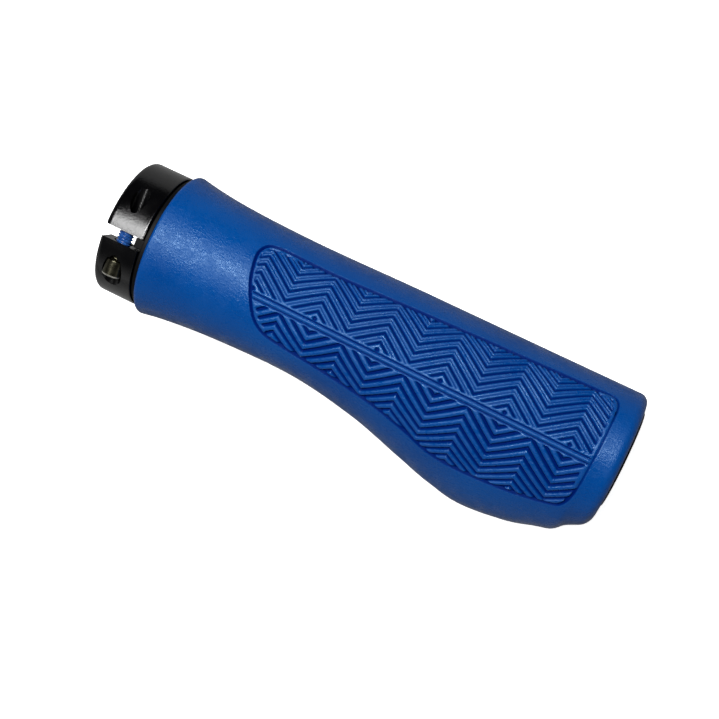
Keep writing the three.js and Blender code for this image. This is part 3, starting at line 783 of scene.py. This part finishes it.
# Nylon thread-lock coating: a thin blue patch rubbed into the thread
threadLock, tree, shader = startMaterial("nylon_thread_lock_blue", {
    "Roughness": 0.18, "IOR": 1.53, "Specular IOR Level": 0.8})
streaks = addNode(tree, "ShaderNodeTexNoise", {"Scale": 1 / 0.5, "Detail": 3}, {"Vector": millimetres(tree)})
share = addNode(tree, "ShaderNodeMapRange", spans(0.3, 0.7, 0, 1), {"Value": streaks.outputs["Fac"]})
tint = addNode(tree, "ShaderNodeMix", {"data_type": "RGBA", 6: hexColour("0f3372"), 7: hexColour("2c5c9e")},
               {0: share.outputs["Result"]})
tree.links.new(tint.outputs[2], shader.inputs["Base Color"])


def screwMesh():
    under, radius, chamfer = screw["underHead"], screw["headRadius"], screw["headChamfer"]
    top = under - screw["headHeight"]
    outline = [(top, centre), (top, radius), (under, radius), (under, centre)]
    head = turnedBody(roundedCorners(outline, [0, chamfer, screw["underRound"], 0], 3), screw["facets"])
    bmesh.ops.holes_fill(head, edges=[e for e in head.edges if e.is_boundary], sides=0)
    bmesh.ops.rotate(head, verts=head.verts, cent=(0, 0, 0), matrix=Matrix.Rotation(math.pi / 2, 3, "Z"))
    bmesh.ops.translate(head, verts=head.verts, vec=(ring["width"] / 2, 0, screw["fromAxis"]))
    # a hexagonal cutter that starts outside the head
    socket = bar(screw["socketWidth"] / math.sqrt(3), top - 1, top + screw["socketDepth"], 6)
    bm = cutWith(head, [socket])
    bm = cutWith(bm, [threadedShank(under - screw["sunk"], under + screw["length"])], "UNION")
    low, high = screw["patch"]
    for face in bm.faces:
        middle = face.calc_center_median()
        reach = math.hypot(middle.x - ring["width"] / 2, middle.z - screw["fromAxis"])
        coated = reach < screw["patchRadius"] and low < middle.y < high
        # painted highlight: faces on the head's rounded rim take the bright steel
        rim = middle.y < top + chamfer and reach > radius - chamfer
        face.material_index = 1 if coated else 2 if rim else 0
    return bm


# Painted highlight: steel made bright on the head's rounded rim, standing in for a glint of light there
rimHighlight, tree, shader = startMaterial("steel_rim_painted_highlight", {"Metallic": 0.8})
place = millimetres(tree)
specks = addNode(tree, "ShaderNodeTexNoise", {"Scale": 1 / 0.6, "Detail": 3}, {"Vector": place})
share = addNode(tree, "ShaderNodeMapRange", spans(0.3, 0.7, 0, 1), {"Value": specks.outputs["Fac"]})
tint = addNode(tree, "ShaderNodeMix", {"data_type": "RGBA", 6: hexColour("8f8e84"), 7: hexColour("dcdad0")},
               {0: share.outputs["Result"]})
tree.links.new(tint.outputs[2], shader.inputs["Base Color"])
rubs = addNode(tree, "ShaderNodeTexNoise", {"Scale": 1}, {"Vector": place})
gloss = addNode(tree, "ShaderNodeMapRange", spans(0.3, 0.7, 0.25, 0.4), {"Value": rubs.outputs["Fac"]})
tree.links.new(gloss.outputs["Result"], shader.inputs["Roughness"])

finishPiece("clamp_screw_m4", screwMesh(), [steel, threadLock, rimHighlight], "clamp_screw",
            tilt=clampTurn, sharpAngle=40)


# Stiff core with its flange and key, and the end plug

core = {
    "start": 10.1, "end": 127.6, "bore": ring["bore"], "radius": 13.0,
    "flangeRadius": 16.25, "flangeWidth": 1,
    "rounds": [0.2, 0.25, 0.2, 0, 0.3, 0.3], "facets": 128,
    "keyReach": 2.2, "keyHeight": 4, "keyHalf": 1.2, "keyFoot": 11.45, "keyRound": 0.25, "keySharpFrom": 30,
}

plug = {
    "start": 115.9, "seat": sleeve["plugSeat"], "end": 130, "headRadius": 12, "spigot": 10.85, "wall": 1.6,
    "bevelDepth": 0.3, "bevelWidth": 0.4,
    "rounds": [0.2, 0.3, 0, 0.15, 0.4, 0.4, 0, 0, 0.4], "facets": 96,
}


def coreMesh():
    start, end = core["start"], core["end"]
    back = start + core["flangeWidth"]
    outline = [(start, core["bore"]), (start, core["flangeRadius"]), (back, core["flangeRadius"]),
               (back, core["radius"]), (end, core["radius"]), (end, core["bore"])]
    bm = turnedBody(roundedCorners(outline, core["rounds"], 3), core["facets"])
    key = box((start - core["keyReach"], -core["keyHalf"], core["keyFoot"]),
              (start + core["flangeWidth"] / 2, core["keyHalf"], core["keyFoot"] + core["keyHeight"]))
    breakEdges(key, sharpEdges(key, core["keySharpFrom"]), core["keyRound"])
    return cutWith(bm, [key], "UNION")


def plugMesh():
    start, seat, end = plug["start"], plug["seat"], plug["end"]
    head, spigot, wall = plug["headRadius"], plug["spigot"], plug["wall"]
    outline = [(start, spigot - wall), (start, spigot), (seat, spigot),
               (seat, head), (end - plug["bevelDepth"], head), (end, head - plug["bevelWidth"]),
               (end, centre), (seat - wall, centre), (seat - wall, spigot - wall)]
    bm = turnedBody(roundedCorners(outline, plug["rounds"], 4), plug["facets"])
    bmesh.ops.holes_fill(bm, edges=[e for e in bm.edges if e.is_boundary], sides=0)
    return bm


# Moulded nylon: matt black, faintly grained
nylon, tree, shader = startMaterial("nylon_moulded_black", {
    "Base Color": hexColour("050506"), "IOR": 1.53, "Specular IOR Level": 0.12})
place = millimetres(tree)
grain = addNode(tree, "ShaderNodeTexNoise", {"Scale": 1 / 0.3}, {"Vector": place})
smears = addNode(tree, "ShaderNodeTexNoise", {"Scale": 1 / 5}, {"Vector": place})
gloss = addNode(tree, "ShaderNodeMapRange", spans(0.3, 0.7, 0.48, 0.6), {"Value": smears.outputs["Fac"]})
tree.links.new(gloss.outputs["Result"], shader.inputs["Roughness"])
tree.links.new(addNode(tree, "ShaderNodeBump", {"Strength": 0.2, "Distance": 0.00004},
                       {"Height": grain.outputs["Fac"]}).outputs[0], shader.inputs["Normal"])

finishPiece("core_with_flange", coreMesh(), [nylon], "core_tube", tilt=clampTurn)
finishPiece("bar_end_plug", plugMesh(), [nylon], "end_plug")
